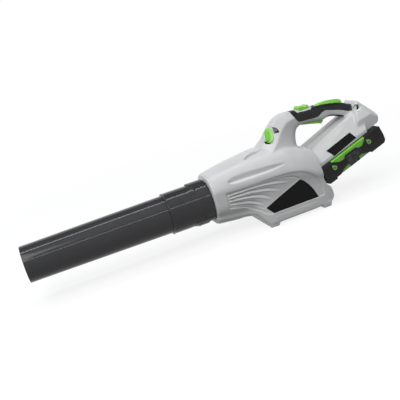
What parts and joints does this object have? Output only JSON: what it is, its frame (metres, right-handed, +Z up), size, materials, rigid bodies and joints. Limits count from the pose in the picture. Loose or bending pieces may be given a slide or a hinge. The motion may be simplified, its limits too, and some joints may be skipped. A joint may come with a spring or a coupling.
{
  "type": "handheld leaf blower",
  "caption": "Handheld cordless axial-fan leaf blower with a two-piece twist-lock blowing tube, loop handle with trigger, and a slide-on battery pack.",
  "frame": {"origin": "on the ground, under the middle of the overall length, in the plane where the housing halves meet", "axes": "+X from the nozzle towards the battery, +Y to the operator-right half of the housing, +Z up; the feet stand on z = 0"},
  "size_m": [0.887, 0.154, 0.238],
  "materials": {
    "shell": "satin light grey moulded housing",
    "ring": "satin light grey",
    "rubber": "soft black overmould",
    "badge": "gloss black, bare",
    "label": "semi-gloss black, bare",
    "tube": "semi-gloss dark grey",
    "collar_skin": "semi-gloss dark grey",
    "dark_plastic": "black glass-filled plastic",
    "grille": "black",
    "green": "satin green controls",
    "pack_green": "satin green pack case",
    "armour": "black pack end caps",
    "steel": "zinc plated",
    "spring": "spring steel",
    "magnet": "sintered rotor",
    "laminations": "stacked laminations",
    "copper": "enamelled copper wire",
    "contact": "plated contacts",
    "heat_sink": "die cast tray",
    "board": "green circuit board",
    "lead": "black silicone lead",
    "cell": "sleeved cell cans, with the mean density of a lithium cell, which is near that of aluminium",
    "window": "smoked light window"
  },
  "bodies": {
    "housing": {"housing_left": "shell", "housing_right": "shell", "nose_ring": "ring", "grip_left": "rubber", "grip_right": "rubber", "underhandle_pad": "rubber", "badge_left": "badge", "badge_right": "badge", "label_left": "label", "label_right": "label", "icon_plate": "label", "boost_bezel": "shell", "speed_switch": "dark_plastic", "lever_pin": "steel", "lever_spring": "spring", "trigger_pin": "steel", "trigger_spring": "spring", "trigger_switch": "dark_plastic", "housing_screws": "steel", "fan_duct": "dark_plastic", "stator_vanes": "dark_plastic", "motor_can": "steel", "motor_core": "laminations", "motor_windings": "copper", "motor_bearings": "steel", "motor_leads": "lead", "bottom_grille": "grille", "rear_grille": "grille", "battery_dock": "dark_plastic", "dock_terminals": "contact", "heat_sink": "heat_sink", "control_board": "board", "release_spring": "spring"},
    "collar": {"collar": "collar_skin"},
    "nozzle": {"nozzle": "tube"},
    "trigger": {"trigger": "green"},
    "palm_lever": {"palm_lever": "green"},
    "boost_button": {"boost_button": "green"},
    "speed_slider": {"speed_slider": "green"},
    "release_button": {"release_button": "green"},
    "fan": {"motor_shaft": "steel", "motor_magnet": "magnet", "fan_impeller": "dark_plastic", "fan_spinner": "dark_plastic"},
    "battery": {"pack_upper_case": "pack_green", "pack_lower_case": "pack_green", "pack_front_cap": "armour", "pack_rear_cap": "armour", "pack_cells": "cell", "cell_holders": "dark_plastic", "pack_board": "board", "pack_contacts": "contact", "pack_screws": "steel", "gauge_window": "window"},
    "gauge_button": {"gauge_button": "pack_green"}
  },
  "joints": [
    {"name": "collar_twist", "type": "hinge", "parent": "housing", "child": "collar", "pos_m": [-0.0655, 0, 0.095], "axis": [1, 0, 0], "range_deg": [0, 18]},
    {"name": "nozzle_slide", "type": "slide", "parent": "collar", "child": "nozzle", "axis": [-1, 0, 0], "range_m": [0, 0.034]},
    {"name": "trigger_pull", "type": "hinge", "parent": "housing", "child": "trigger", "pos_m": [0.2525, 0, 0.203], "axis": [0, -1, 0], "range_deg": [0, 7], "stiffness_Nm_per_rad": 1.5, "springref_deg": -6.88, "deforming": ["trigger_spring"]},
    {"name": "lever_press", "type": "hinge", "parent": "housing", "child": "palm_lever", "pos_m": [0.3005, 0, 0.214], "axis": [0, 1, 0], "range_deg": [0, 4], "stiffness_Nm_per_rad": 2, "springref_deg": -6.88, "deforming": ["lever_spring"]},
    {"name": "boost_press", "type": "slide", "parent": "housing", "child": "boost_button", "axis": [-0.0958, 0, -0.9954], "range_m": [0, 0.0025], "stiffness_N_per_m": 600, "springref_m": -0.003},
    {"name": "speed_slide", "type": "slide", "parent": "housing", "child": "speed_slider", "axis": [0.6561, 0, 0.7547], "range_m": [-0.003, 0.003]},
    {"name": "release_press", "type": "slide", "parent": "housing", "child": "release_button", "axis": [-0.7071, 0, -0.7071], "range_m": [0, 0.003], "stiffness_N_per_m": 600, "springref_m": -0.003, "deforming": ["release_spring"]},
    {"name": "fan_spin", "type": "hinge", "parent": "housing", "child": "fan", "pos_m": [0.1845, 0, 0.095], "axis": [1, 0, 0], "continuous": true},
    {"name": "battery_slide", "type": "slide", "parent": "housing", "child": "battery", "axis": [0.9511, 0, 0.309], "range_m": [0, 0.16]},
    {"name": "gauge_press", "type": "slide", "parent": "battery", "child": "gauge_button", "axis": [-0.9511, 0, -0.309], "range_m": [0, 0.0012], "stiffness_N_per_m": 400, "springref_m": -0.002}
  ]
}
